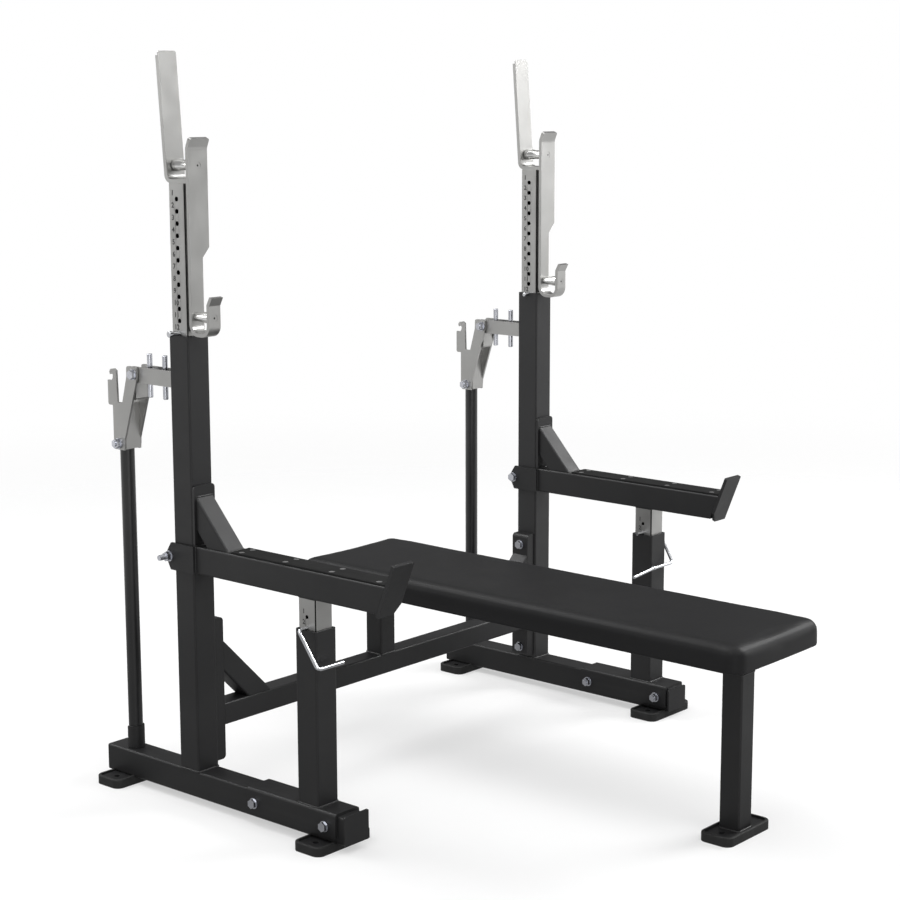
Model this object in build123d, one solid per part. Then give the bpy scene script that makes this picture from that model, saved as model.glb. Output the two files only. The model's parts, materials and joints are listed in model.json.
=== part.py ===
from build123d import *
import os

os.makedirs("parts", exist_ok=True)

# ---------------------------------------------------------------------------
# Competition bench press. Millimetres, +Z up, floor at Z = 0.
# The bench runs along Y with its foot end toward -Y; the barbell lies along X.
# Everything is drawn about the line of the uprights (y = 0) and then moved by
# RACK_Y, so that the finished bench stands centred on the origin.
# ---------------------------------------------------------------------------

RACK_Y = 419.0            # uprights' centre line, measured from the origin

# steel tube
TUBE = 60.0               # outer square tube of uprights, posts and base beams
TUBE_WALL = 4.0
INNER = 50.0              # inner square tube, crossbeam and bench legs
INNER_WALL = 3.0
CORNER = 4.5              # outer corner radius of the square tube

# overall layout
HALF_SPAN = 590.0         # centre line of each side frame
FLOOR_RUBBER = 8.0        # rubber under the foot plates
FOOT_T = 8.0              # foot plate thickness
BEAM_Z = FLOOR_RUBBER + FOOT_T      # underside of the base beams
BEAM_TOP = BEAM_Z + TUBE
BEAM_FRONT_LEFT = -474.0  # the left beam's end stands further out of its saddle
BEAM_FRONT_RIGHT = -457.0
BEAM_REAR = 274.0
END_T = 4.0               # end plates of the base beams
END_Z0 = 20.0
END_TOP_LEFT = 82.0
END_TOP_RIGHT = 74.0

# feet
FOOT_X = 150.0
FOOT_Y = 64.0
LIP = 7.0                 # rubber lip round the plate
LIP_H = 4.0               # lip height above the plate
ANCHOR_X = 50.0           # floor anchor holes either side of the foot centre
ANCHOR_R = 6.5
FOOT_REAR_Y = 224.0
FOOT_FRONT_Y = -408.0

# uprights and height adjustment
UPRIGHT_TOP = 1036.0
PIN_D = 9.9
PIN_HOLE_D = 10.1
PITCH = 25.65             # spacing of the height holes
HOLES = 12
INNER_TOP = 1356.0
INNER_BOTTOM = 480.0
PIN_Z = UPRIGHT_TOP + PIN_D / 2 + 0.05       # last hole, pin seated on the rim
SEAT_RIGHT = 8.5          # the right pin sinks this far into a notch of its rim

# crossbeam and its brackets
BRACKET_D = 26.0
BRACKET_W = 50.0
BRACKET_Z0 = 86.0
BRACKET_Z1 = 410.0
BRACKET_T = 5.0
CROSS_Z = 162.0           # underside of the crossbeam
BRACKET_BOLT_Z = (109.0, 383.0)

# front posts
POST_Y = -367.0
POST_TOP = 457.5
SADDLE_T = 6.0
SADDLE_Y0 = -451.0
SADDLE_Y1 = -188.0
SADDLE_Z0 = 28.0
SADDLE_BOLTS = (-420.0, -210.0)
SADDLE_BOLT_Z = 50.0
LATCH_D = 7.9
LATCH_HOLE_D = 8.1
LATCH_PITCH = 22.5
LATCH_Z = POST_TOP + LATCH_D / 2 + 0.05
SLIDER_BOTTOM = 200.0

# safety arms
ARM_Z0 = 524.0
ARM_Z1 = ARM_Z0 + TUBE
YOKE_T = 6.0
YOKE_GAP = 1.0
YOKE_TOP = 715.0
YOKE_TIP = 50.0
YOKE_BOLT_Y = 39.0
END_LEAN = 21.5           # forward lean of the arm end plate
END_PLATE_T = 8.0
END_PLATE_H = 119.5
LINER_W = 54.0
LINER_T = 4.5
LINER_Y0 = -588.5
LINER_Y1 = -145.0
LINER_SCREWS = (-167.0, -298.0, -431.0, -562.0)
LINER_SCREW_X = 16.0
LINER_SCREW_R = 6.5

# rack hooks
HOOK_T = 8.0
HOOK_HALF_W = 27.0        # half width of the hook plate
HOOK_LOW_X = 5.0          # its lower half ends here on the +X side
HOOK_BACK = -33.0         # rear face of the hook plate
LIP_REAR_Z = 1429.7       # bend of the forward lip, rear and front face
LIP_FRONT_Z = 1428.1
LIP_TOP_Z = 1451.5
FINGER_LEAN = 4.3         # rearward lean of the tall finger
FINGER_T = 9.0            # finger: backing plate and front facing together
FACING_T = 2.5
BACKING_TOP = 1619.5
FINGER_TOP = 1629.0
AXLE_D = 10.0
BORE_D = 10.16
UP_ROLLER_Z = 1393.0
LOW_ROLLER_Z = 1078.0
J_FRONT = -95.0           # front face of the lower hook's front leg
J_BOTTOM = 1037.0

# jack levers
PIVOT_Y = 158.0
PIVOT_Z = 938.0
ARM_W = 36.0
ARM_LOW = 920.0
ARM_HIGH = 955.0
FORK_IN = 19.0            # inner face of the fork plates from the centre line
FORK_T = 5.0
LEVER_Y = 213.0
LEVER_D = 32.0
LEVER_BOLT_Z = 780.0
REST_TOP = 128.0
BOLT_D = 12.0
BOLT_HOLE_D = 12.12
PEG_Y = (79.0, 129.0)
PEG_Z0 = 888.0
PEG_Z1 = 984.0

# bench
PAD_W = 320.0
PAD_Y0 = -1115.0
PAD_Y1 = 111.0
PAD_Z0 = 397.0
PAD_TOP = 453.0
PAD_EDGE = 24.0
PAD_CORNER = 32.0
FRONT_LEG_Y = -1016.0
BENCH_BEAM_H = 35.0
PAD_BAR_T = 6.0
PAD_BARS = (-1016.0, -508.0, 0.0)
PAD_SCREW_X = 95.0


def square_tube(size, wall, length, depth=None):
    """Square tube standing on the XY plane."""
    depth = depth or size
    outer = extrude(RectangleRounded(size, depth, CORNER), length)
    bore = extrude(RectangleRounded(size - 2 * wall, depth - 2 * wall, 1.5), length)
    return outer - bore


def along_y(shape):
    """Turn a shape standing on XY so that it runs toward +Y."""
    return Rot(-90, 0, 0) * shape


def along_x(shape):
    """Turn a shape standing on XY so that it runs toward +X."""
    return Rot(0, 90, 0) * shape


def x_rod(radius, x0, x1, y, z):
    return Pos(x0, y, z) * along_x(extrude(Circle(radius), x1 - x0))


def y_rod(radius, y0, y1, x, z):
    return Pos(x, y0, z) * along_y(extrude(Circle(radius), y1 - y0))


def z_rod(radius, z0, z1, x, y):
    return Pos(x, y, z0) * extrude(Circle(radius), z1 - z0)


def yz_plate(points, x0, x1, radius=0.0, corners=()):
    """Plate drawn in the YZ plane and reaching from x0 to x1."""
    face = make_face(Polyline(*[(0, y, z) for y, z in points], close=True))
    plate = extrude(face, amount=x1 - x0, dir=(1, 0, 0))
    plate = Pos(x0, 0, 0) * plate
    if radius:
        edges = [e for e in plate.edges().filter_by(Axis.X)
                 if any(abs(e.center().Y - y) < 0.5 and abs(e.center().Z - z) < 0.5
                        for y, z in corners)]
        plate = fillet(edges, radius)
    return plate


def xz_plate(points, y0, y1):
    """Plate drawn in the XZ plane and reaching from y0 to y1."""
    face = make_face(Polyline(*[(x, 0, z) for x, z in points], close=True))
    return Pos(0, y0, 0) * extrude(face, amount=y1 - y0, dir=(0, 1, 0))


def hex_bolt(x_head, x_end, y, z, nut_at=None):
    """M12 bolt along X: washer seat at x_head, head pointing away from x_end."""
    way = 1 if x_end > x_head else -1
    bolt = x_rod(BOLT_D / 2, min(x_head, x_end), max(x_head, x_end), y, z)
    bolt += x_rod(12.0, *sorted((x_head, x_head - way * 2.5)), y, z)
    head = along_x(extrude(RegularPolygon(10.4, 6), 7.5))
    bolt += Pos(x_head - (2.5 if way > 0 else -2.5) - (7.5 if way > 0 else 0), y, z) * head
    if nut_at is not None:
        bolt += x_rod(12.0, *sorted((nut_at, nut_at + way * 2.5)), y, z)
        start = nut_at + way * 2.5 - (0 if way > 0 else 10.0)
        bolt += Pos(start, y, z) * along_x(extrude(RegularPolygon(10.4, 6), 10.0))
    return bolt


# --------------------------------------------------------------- side frames
# Side parts are drawn about x = 0 with +x pointing inboard.

def base_beam(front):
    beam = Pos(0, front, BEAM_Z + TUBE / 2) * along_y(
        square_tube(TUBE, TUBE_WALL, BEAM_REAR - front))
    for y in SADDLE_BOLTS:
        beam -= x_rod(6.5, -50, 50, y, SADDLE_BOLT_Z)
    return beam


def front_end_plate(front, top):
    plate = extrude(RectangleRounded(72, top - END_Z0, 4), END_T)
    return Pos(0, front - END_T, (top + END_Z0) / 2) * along_y(plate)


def rear_end_cap():
    cap = extrude(RectangleRounded(TUBE, TUBE, CORNER), 3.0)
    return Pos(0, BEAM_REAR, BEAM_Z + TUBE / 2) * along_y(cap)


def foot_plate():
    plate = extrude(RectangleRounded(FOOT_X, FOOT_Y, 11), FOOT_T)
    for x in (-ANCHOR_X, ANCHOR_X):
        plate -= z_rod(ANCHOR_R, -1, FOOT_T + 1, x, 0)
    return Pos(0, 0, FLOOR_RUBBER) * plate


def rubber_foot(notch):
    """Rubber boot; the lip is notched where a base beam crosses it."""
    height = BEAM_Z + LIP_H
    boot = extrude(RectangleRounded(FOOT_X + 2 * LIP, FOOT_Y + 2 * LIP, 18), height)
    boot = fillet(boot.faces().sort_by(Axis.Z)[-1].edges(), 3.0)
    boot -= Pos(0, 0, FLOOR_RUBBER) * extrude(RectangleRounded(FOOT_X, FOOT_Y, 11), height)
    for x in (-ANCHOR_X, ANCHOR_X):
        boot -= z_rod(ANCHOR_R + 1.5, -1, height, x, 0)
    if notch:
        boot -= Pos(0, 0, BEAM_Z + 5) * Box(TUBE + 1, 120, 10)
    return boot


def upright(notched):
    """Outer tube; a notched rim lets the height pin sink into both side walls."""
    post = Pos(0, 0, BEAM_TOP) * square_tube(TUBE, TUBE_WALL, UPRIGHT_TOP - BEAM_TOP)
    for z in BRACKET_BOLT_Z:
        post -= x_rod(6.2, TUBE / 2 - TUBE_WALL - 1, TUBE / 2 + 1, 0, z)
    if notched:
        z = PIN_Z - SEAT_RIGHT
        radius = PIN_D / 2 + 0.2
        post -= x_rod(radius, -40, 40, 0, z)
        post -= Pos(0, 0, z + 10) * Box(80, 2 * radius, 20)
    return post


def bracket():
    """Pressed tray standing against the upright's inboard face."""
    height = BRACKET_Z1 - BRACKET_Z0
    x0 = TUBE / 2
    body = Box(BRACKET_D, BRACKET_W, height)
    top = body.edges().filter_by(Axis.Y).sort_by(Axis.X)[-2:]
    body = fillet(top, 9.0)
    hollow = Box(BRACKET_D, BRACKET_W - 2 * BRACKET_T, height - 2 * BRACKET_T)
    body -= Pos(-BRACKET_T, 0, 0) * hollow
    body = Pos(x0 + BRACKET_D / 2, 0, (BRACKET_Z0 + BRACKET_Z1) / 2) * body
    for z in BRACKET_BOLT_Z:
        body -= x_rod(6.5, x0, x0 + BRACKET_D + 2, 0, z)
    return body


def bracket_bolt(z):
    x_face = TUBE / 2 + BRACKET_D
    return hex_bolt(x_face, TUBE / 2 - TUBE_WALL, 0, z)


def cross_brace():
    """Tube at 45 degrees from the bracket down to the crossbeam."""
    x0 = TUBE / 2 + BRACKET_D
    z1 = CROSS_Z + INNER
    tube = Pos(0, 0, -200) * square_tube(INNER, INNER_WALL, 400)
    run = 74.0 + INNER * 2 ** 0.5 / 2
    mid = Pos(x0 + run / 2, 0, z1 + run / 2)
    tube = mid * Rot(0, -45, 0) * tube
    keep = Pos(x0 + 250, 0, z1 + 250) * Box(500, 100, 500)
    return tube & keep


def saddle():
    """Bent plate over the base beam that carries the front post."""
    length = SADDLE_Y1 - SADDLE_Y0
    wide = TUBE + 2 * SADDLE_T
    high = BEAM_TOP + SADDLE_T - SADDLE_Z0
    body = Box(wide, length, high)
    body = fillet(body.edges().filter_by(Axis.Y).sort_by(Axis.Z)[-2:], 7.0)
    body = fillet(body.edges().filter_by(Axis.X).sort_by(Axis.Y)[:1]
                  + body.edges().filter_by(Axis.X).sort_by(Axis.Z)[:2], 4.0)
    body -= Pos(0, 0, -SADDLE_T) * Box(TUBE, length + 2, high)
    body = Pos(0, (SADDLE_Y0 + SADDLE_Y1) / 2, SADDLE_Z0 + high / 2) * body
    for y in SADDLE_BOLTS:
        body -= x_rod(6.5, -50, 50, y, SADDLE_BOLT_Z)
    return body


def saddle_bolt(y):
    face = TUBE / 2 + SADDLE_T
    return hex_bolt(-face, face + 15.0, y, SADDLE_BOLT_Z, nut_at=face)


def front_post():
    z0 = BEAM_TOP + SADDLE_T
    return Pos(0, POST_Y, z0) * square_tube(TUBE, TUBE_WALL, POST_TOP - z0)


def jack_arm():
    """Open channel behind the upright, with a stop nose under its end."""
    y0, y1 = TUBE / 2, PIVOT_Y + 8
    body = Pos(0, (y0 + y1) / 2, (ARM_LOW + ARM_HIGH) / 2) * Box(
        ARM_W, y1 - y0, ARM_HIGH - ARM_LOW)
    body -= Pos(0, (y0 + y1) / 2, (ARM_LOW + ARM_HIGH) / 2 + 4) * Box(
        ARM_W - 8, y1 - y0 + 2, ARM_HIGH - ARM_LOW)
    nose = Pos(0, y1 - 5, 900.5) * Box(ARM_W, 10, 39)
    nose = fillet(nose.edges().filter_by(Axis.X).sort_by(Axis.Z)[:2], 4.9)
    body += nose
    body -= x_rod(BOLT_HOLE_D / 2, -40, 40, PIVOT_Y, PIVOT_Z)
    for y in PEG_Y:
        body -= z_rod(6.0, ARM_LOW - 5, ARM_LOW + 10, 0, y)
    return body


def peg(y):
    return chamfer(z_rod(6.0, PEG_Z0, PEG_Z1, 0, y).edges(), 1.0)


def pivot_bolt():
    face = FORK_IN + FORK_T + 0.3
    return hex_bolt(-face, face + 15.0, PIVOT_Y, PIVOT_Z, nut_at=face)


def lever_rest():
    """Half pipe standing on the base beam, open toward the rear."""
    height = REST_TOP - BEAM_TOP
    outer = Circle(LEVER_D / 2 + 3.5) - Circle(LEVER_D / 2 + 1)
    half = outer & Pos(0, -30) * Rectangle(100, 60)
    side = Rectangle(2.5, 6)
    x = LEVER_D / 2 + 2.25
    half += Pos(-x, 3) * side
    half += Pos(x, 3) * side
    return Pos(0, LEVER_Y, BEAM_TOP) * extrude(half, height)


# ------------------------------------------------ inner upright and its hook

def inner_upright():
    post = Pos(0, 0, INNER_BOTTOM) * square_tube(INNER, INNER_WALL, INNER_TOP - INNER_BOTTOM)
    for i in range(HOLES):
        post -= x_rod(PIN_HOLE_D / 2, -40, 40, 0, PIN_Z + i * PITCH)
    return post


def rack_hook():
    """Front plate with a forward lip on top and the lower hook at its foot."""
    t = HOOK_T
    back, front = HOOK_BACK, HOOK_BACK - t
    j_in = J_FRONT + t
    r_in, r_out = 17.0, 17.0 + t
    zc = J_BOTTOM + r_out
    profile = [(back, LIP_REAR_Z), (back - 9, LIP_TOP_Z), (back - 16.4, LIP_TOP_Z - 3.1),
               (front, LIP_FRONT_Z), (front, J_BOTTOM + t), (j_in, J_BOTTOM + t),
               (j_in, 1106.0), (j_in - 9, 1123.0), (j_in - 17, 1121.0),
               (J_FRONT, 1104.0), (J_FRONT, J_BOTTOM), (back, J_BOTTOM)]
    strip = yz_plate(profile, -HOOK_HALF_W, HOOK_HALF_W)
    inner = [(front, J_BOTTOM + t), (j_in, J_BOTTOM + t)]
    outer = [(J_FRONT, J_BOTTOM), (back, J_BOTTOM)]
    for corners, r in ((inner, r_in), (outer, r_out)):
        edges = [e for e in strip.edges().filter_by(Axis.X)
                 if any(abs(e.center().Y - y) < 0.5 and abs(e.center().Z - z) < 0.5
                        for y, z in corners)]
        strip = fillet(edges, r)
    bends = [(back, LIP_REAR_Z), (front, LIP_FRONT_Z)]
    edges = [e for e in strip.edges().filter_by(Axis.X)
             if any(abs(e.center().Y - y) < 0.5 and abs(e.center().Z - z) < 0.5
                    for y, z in bends)]
    strip = fillet(edges, 20.0)
    corners = [e for e in strip.edges() if e.center().Z > LIP_TOP_Z - 4
               and abs(abs(e.center().X) - HOOK_HALF_W) < 0.1 and abs(e.length - t) < 0.6]
    strip = fillet(corners, 5.0)
    # the lower half is narrower on the +X side
    x = HOOK_LOW_X
    cut = xz_plate([(x, 1000), (x, 1197), (x + 22, 1222), (60, 1222), (60, 1000)], -130, 0)
    strip -= cut
    strip -= y_rod(AXLE_D / 2, front - 1, back + 1, 0, UP_ROLLER_Z)
    strip -= y_rod(8.0, front - 1, front + 3, 0, UP_ROLLER_Z)
    strip -= y_rod(AXLE_D / 2, J_FRONT - 1, back + 1, -12, LOW_ROLLER_Z)
    strip -= y_rod(8.0, J_FRONT - 1, J_FRONT + 3, -12, LOW_ROLLER_Z)
    return strip


def finger_y(z):
    """Front face of the leaning finger at height z."""
    return 28.0 + (z - 1385.0) * 0.0752


def rack_finger():
    """Bent strip: flat foot on the inner upright, tall leaning finger behind."""
    t = HOOK_T
    z0 = INNER_TOP
    profile = [(HOOK_BACK, z0), (finger_y(z0) + FINGER_T, z0),
               (finger_y(BACKING_TOP) + FINGER_T, BACKING_TOP),
               (finger_y(BACKING_TOP) + FACING_T, BACKING_TOP),
               (finger_y(FINGER_TOP) + FACING_T, FINGER_TOP), (finger_y(FINGER_TOP), FINGER_TOP),
               (finger_y(z0 + t), z0 + t), (HOOK_BACK, z0 + t)]
    strip = yz_plate(profile, -INNER / 2, INNER / 2)

    def near(y, z):
        return [e for e in strip.edges().filter_by(Axis.X)
                if abs(e.center().Y - y) < 0.5 and abs(e.center().Z - z) < 0.5]
    strip = fillet(near(finger_y(z0) + FINGER_T, z0), 18.0)
    strip = fillet(near(finger_y(z0 + t), z0 + t), 10.0)
    top = [e for e in strip.edges() if e.center().Z > FINGER_TOP - 0.5
           and abs(abs(e.center().X) - INNER / 2) < 0.1]
    strip = fillet(top, 5.0)
    strip -= y_rod(AXLE_D / 2, 0, 60, 0, UP_ROLLER_Z)
    return strip


def hook_axles():
    up = y_rod(AXLE_D / 2, HOOK_BACK - HOOK_T + 0.5, finger_y(UP_ROLLER_Z) + HOOK_T - 1,
               0, UP_ROLLER_Z)
    up += y_rod(8.0, HOOK_BACK - HOOK_T + 0.5, HOOK_BACK - HOOK_T + 3, 0, UP_ROLLER_Z)
    low = y_rod(AXLE_D / 2, J_FRONT + 0.5, HOOK_BACK - 0.5, -12, LOW_ROLLER_Z)
    low += y_rod(8.0, J_FRONT + 0.5, J_FRONT + 3, -12, LOW_ROLLER_Z)
    return [up, low]


def turned(points, x, z):
    """Turned part about an axis along Y; points are (y, radius)."""
    face = make_face(Polyline(*[(r, y, 0) for y, r in points], close=True))
    return Pos(x, 0, z) * revolve(face, Axis.Y)


def upper_roller():
    y0, y1 = HOOK_BACK + 0.6, finger_y(UP_ROLLER_Z - 14) - 0.6
    mid = (y0 + y1) / 2
    b = BORE_D / 2
    body = turned([(y0, b), (y0, 12), (y0 + 2, 13.2), (y0 + 6, 13.2), (mid - 8, 11),
                   (mid + 2, 11), (y1 - 12, 13.6), (y1 - 2, 13.6), (y1, 12.6), (y1, b)],
                  0, UP_ROLLER_Z)
    return body


def lower_roller():
    y0, y1 = J_FRONT + HOOK_T + 0.6, HOOK_BACK - HOOK_T - 0.6
    b = BORE_D / 2
    return turned([(y0, b), (y0, 12), (y0 + 1.5, 13.2), (y1 - 4, 9.5), (y1, 9.5), (y1, b)],
                  -12, LOW_ROLLER_Z)


def height_pin():
    pin = x_rod(PIN_D / 2, -53, 45, 0, PIN_Z)
    pin = chamfer(pin.edges(), 1.2)
    head = chamfer(x_rod(6.5, -57, -47, 0, PIN_Z).edges(), 1.0)
    return pin + head


# ------------------------------------------------------------------ jack lever

def lever_head():
    """Fork of two side plates joined by a web; one plate carries the ear."""
    stem = LEVER_Y + 16
    plain = [(147, 955), (147, 928), (192, 790), (194, 766), (stem - 4, 766),
             (stem, 774), (stem, 872), (197, 872), (181, 930), (180, 955)]
    eared = [(147, 955), (147, 928), (192, 790), (194, 766), (stem - 4, 766),
             (stem, 774), (stem, 864), (244, 864), (244, 919), (231, 919),
             (227, 924), (226, 931), (229, 935), (236, 932), (238, 938), (234, 944),
             (222, 946), (215, 942), (213, 872), (197, 872), (181, 930), (180, 955)]
    a = FORK_IN
    head = yz_plate(eared, -a - FORK_T, -a, 5.0, [(147, 955), (180, 955), (244, 864)])
    head += yz_plate(plain, a, a + FORK_T, 5.0, [(147, 955), (180, 955)])
    head += Pos(0, 194, (768 + 870) / 2) * Box(2 * a + 2, 5, 102)
    head -= x_rod(BOLT_HOLE_D / 2, -60, 60, PIVOT_Y, PIVOT_Z)
    head -= x_rod(BOLT_D / 2 + 0.2, -60, 60, LEVER_Y, LEVER_BOLT_Z)
    return head


def lever_bar():
    z0, z1 = BEAM_TOP + 6, 812.0
    bar = z_rod(LEVER_D / 2, z0, z1, 0, LEVER_Y)
    bar = chamfer(bar.edges().sort_by(Axis.Z)[0], 1.5)
    bar -= z_rod(LEVER_D / 2 - 3, z0 + 4, z1 + 1, 0, LEVER_Y)
    bar -= x_rod(BOLT_D / 2 + 0.2, -30, 30, LEVER_Y, LEVER_BOLT_Z)
    return bar


def lever_bolt():
    face = FORK_IN + FORK_T
    return hex_bolt(face, -face - 15.0, LEVER_Y, LEVER_BOLT_Z, nut_at=-face)


# ---------------------------------------------------------------- safety arm

def safety_yoke():
    """Front plate with two cheeks that wrap round the upright."""
    g = TUBE / 2 + YOKE_GAP
    h = TUBE / 2
    plate = xz_plate([(-h, ARM_Z0), (h, ARM_Z0), (h, YOKE_TOP), (-h, YOKE_TOP)],
                     -g - YOKE_T, -g)
    plate = fillet(plate.edges().filter_by(Axis.Y).sort_by(Axis.Z)[-2:], 9.0)
    cheek = [(-g - YOKE_T, ARM_Z0), (YOKE_TIP - 14, ARM_Z0), (YOKE_TIP, ARM_Z0 + 27),
             (YOKE_TIP, ARM_Z0 + 35), (YOKE_TIP - 16, ARM_Z1), (-g - YOKE_T, ARM_Z1)]
    yoke = plate
    yoke += yz_plate(cheek, -g - YOKE_T, -g)
    yoke += yz_plate(cheek, g, g + YOKE_T)
    yoke += Pos(0, -g - YOKE_T / 2, (ARM_Z0 + ARM_Z1) / 2) * Box(
        2 * g + 2 * YOKE_T, YOKE_T, TUBE)
    yoke -= x_rod(BOLT_D / 2 + 0.5, -60, 60, YOKE_BOLT_Y, (ARM_Z0 + ARM_Z1) / 2)
    return yoke


def yoke_bolt():
    """Stud behind the upright: head inboard, long threaded end outboard."""
    face = TUBE / 2 + YOKE_GAP + YOKE_T
    return hex_bolt(face, -face - 30.0, YOKE_BOLT_Y, (ARM_Z0 + ARM_Z1) / 2, nut_at=-face)


END_PLACE = Pos(0, -571, 516) * Rot(END_LEAN, 0, 0)


def safety_arm():
    y1 = -(TUBE / 2 + YOKE_GAP + YOKE_T)
    arm = Pos(0, -640, ARM_Z0 + TUBE / 2) * along_y(square_tube(TUBE, TUBE_WALL, y1 + 640))
    arm -= END_PLACE * Pos(0, END_PLATE_T - 100, 60) * Box(200, 200, 400)
    return arm


def safety_end_plate():
    h = TUBE / 2
    plate = xz_plate([(-h, 0), (h - 16, 0), (h, 24), (h, END_PLATE_H), (-h, END_PLATE_H)],
                     0, END_PLATE_T)
    plate = fillet(plate.edges().filter_by(Axis.Y).sort_by(Axis.Z)[-2:], 3.0)
    return END_PLACE * plate


def safety_brace():
    """Diagonal tube from the front plate down to the arm."""
    y0 = -(TUBE / 2 + YOKE_GAP + YOKE_T)
    rise, reach = 107.0, 97.0
    top = Vector(0, y0, ARM_Z1 + rise)
    foot = Vector(0, y0 - reach, ARM_Z1)
    run = foot - top
    length = run.length
    inward = Vector(0, -run.Z, run.Y).normalized() * -1
    if inward.Z > 0:
        inward = inward * -1
    centre = (top + foot) * 0.5 + inward * (INNER / 2)
    plane = Plane(origin=centre, x_dir=(1, 0, 0), z_dir=run.normalized())
    tube = plane.location * Pos(0, 0, -length) * square_tube(INNER, INNER_WALL, 2 * length)
    keep = Pos(0, y0 - 250, ARM_Z1 + 250) * Box(100, 500, 500)
    return tube & keep


def safety_liner():
    y = (LINER_Y0 + LINER_Y1) / 2
    strip = Pos(0, y, ARM_Z1 + LINER_T / 2) * Box(LINER_W, LINER_Y1 - LINER_Y0, LINER_T)
    strip = chamfer(strip.faces().sort_by(Axis.Z)[-1].edges(), 1.2)
    for y in LINER_SCREWS:
        for x in (-LINER_SCREW_X, LINER_SCREW_X):
            strip -= z_rod(LINER_SCREW_R, ARM_Z1 + 1.5, ARM_Z1 + 10, x, y)
    return strip


def liner_screws():
    return [chamfer(z_rod(LINER_SCREW_R, ARM_Z1 + 1.5, ARM_Z1 + LINER_T - 0.2, x, y)
                    .edges().sort_by(Axis.Z)[-1], 0.4)
            for y in LINER_SCREWS for x in (-LINER_SCREW_X, LINER_SCREW_X)]


def post_slider():
    tube = Pos(0, POST_Y, SLIDER_BOTTOM) * square_tube(INNER, INNER_WALL, ARM_Z0 - SLIDER_BOTTOM)
    for i in range(8):
        tube -= x_rod(LATCH_HOLE_D / 2, -40, 40, POST_Y, LATCH_Z + LATCH_PITCH * (1 - i))
    return tube


def bent_bar(points, radius):
    """Round bar through the points, starting toward -X."""
    start = Plane(origin=points[0], z_dir=(-1, 0, 0))
    return sweep(start * Circle(LATCH_D / 2), path=FilletPolyline(*points, radius=radius))


def latch_pin():
    """Round bar: shank through the slider, leg down and forward, short foot."""
    y, z = POST_Y - 54, LATCH_Z - 74
    return bent_bar([(38, POST_Y, LATCH_Z), (-50, POST_Y, LATCH_Z), (-50, y, z), (25, y, z)], 9)


def long_latch_pin():
    """The right-hand pin: pushed further in, its foot drawn out past a collar."""
    y, z = POST_Y - 47, LATCH_Z - 80
    bar = bent_bar([(50, POST_Y, LATCH_Z), (-38, POST_Y, LATCH_Z), (-38, y, z),
                    (44, y, z), (126, y, z - 8)], 9)
    return bar + x_rod(LATCH_D / 2 + 1.2, 39, 46, y, z)


# --------------------------------------------------------------------- bench

def crossbeam():
    length = 2 * (HALF_SPAN - TUBE / 2 - BRACKET_D)
    return Pos(-length / 2, 0, CROSS_Z + INNER / 2) * along_x(
        square_tube(INNER, INNER_WALL, length))


def bench_leg(y, z0):
    return Pos(0, y, z0) * square_tube(INNER, INNER_WALL,
                                       PAD_Z0 - PAD_BAR_T - BENCH_BEAM_H - z0)


def bench_beam():
    y0, y1 = FRONT_LEG_Y - INNER / 2, INNER / 2
    body = square_tube(INNER, INNER_WALL, y1 - y0, depth=BENCH_BEAM_H)
    return Pos(0, y0, PAD_Z0 - PAD_BAR_T - BENCH_BEAM_H / 2) * along_y(body)


def pad_bar(y):
    bar = extrude(RectangleRounded(236, 40, 6), PAD_BAR_T)
    for x in (-PAD_SCREW_X, PAD_SCREW_X):
        bar -= z_rod(4.5, -1, PAD_BAR_T + 1, x, 0)
    return Pos(0, y, PAD_Z0 - PAD_BAR_T) * bar


def pad_screw(x, y):
    z = PAD_Z0 - PAD_BAR_T
    return z_rod(4.0, z, z + 24, x, y) + z_rod(8.0, z - 1.5, z, x, y) + z_rod(6.5, z - 6, z, x, y)


def bench_pad():
    length = PAD_Y1 - PAD_Y0
    pad = extrude(RectangleRounded(PAD_W, length, PAD_CORNER), PAD_TOP - PAD_Z0)
    pad = fillet(pad.faces().sort_by(Axis.Z)[-1].edges(), PAD_EDGE)
    pad = fillet(pad.faces().sort_by(Axis.Z)[0].edges(), 4.0)
    pad = Pos(0, (PAD_Y0 + PAD_Y1) / 2, PAD_Z0) * pad
    for y in PAD_BARS:
        for x in (-PAD_SCREW_X, PAD_SCREW_X):
            pad -= z_rod(4.1, PAD_Z0 - 1, PAD_Z0 + 19, x, y)
    return pad


# ------------------------------------------------------------------ assembly

LEFT = Pos(-HALF_SPAN, RACK_Y, 0)


def left(shape):
    return LEFT * shape


def right(shape):
    return mirror(LEFT * shape, about=Plane.YZ)


def both(shapes):
    return [left(s) for s in shapes] + [right(s) for s in shapes]


RIGHT_RACK = Pos(HALF_SPAN, RACK_Y, -SEAT_RIGHT)


def middle(shape):
    return Pos(0, RACK_Y, 0) * shape


def save(name, shapes):
    shapes = shapes if isinstance(shapes, list) else [shapes]
    solids = [s for shape in shapes for s in shape.solids()]
    body = solids[0] if len(solids) == 1 else Compound(children=solids)
    body.label = name
    export_step(body, os.path.join("parts", name + ".step"))


# fixed frame
save("base_beams", [left(base_beam(BEAM_FRONT_LEFT)), right(base_beam(BEAM_FRONT_RIGHT))])
save("end_plates", [left(front_end_plate(BEAM_FRONT_LEFT, END_TOP_LEFT)),
                    right(front_end_plate(BEAM_FRONT_RIGHT, END_TOP_RIGHT))] + both([rear_end_cap()]))
feet = [(y, True) for y in (FOOT_REAR_Y, FOOT_FRONT_Y)]
save("foot_plates", both([Pos(0, y, 0) * foot_plate() for y, _ in feet])
     + [middle(Pos(0, FRONT_LEG_Y, 0) * foot_plate())])
save("rubber_feet", both([Pos(0, y, 0) * rubber_foot(n) for y, n in feet])
     + [middle(Pos(0, FRONT_LEG_Y, 0) * rubber_foot(False))])
save("crossbeam", middle(crossbeam()))
save("crossbeam_brackets", both([bracket()]))
save("crossbeam_braces", both([cross_brace()]))
save("post_saddles", both([saddle()]))
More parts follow.
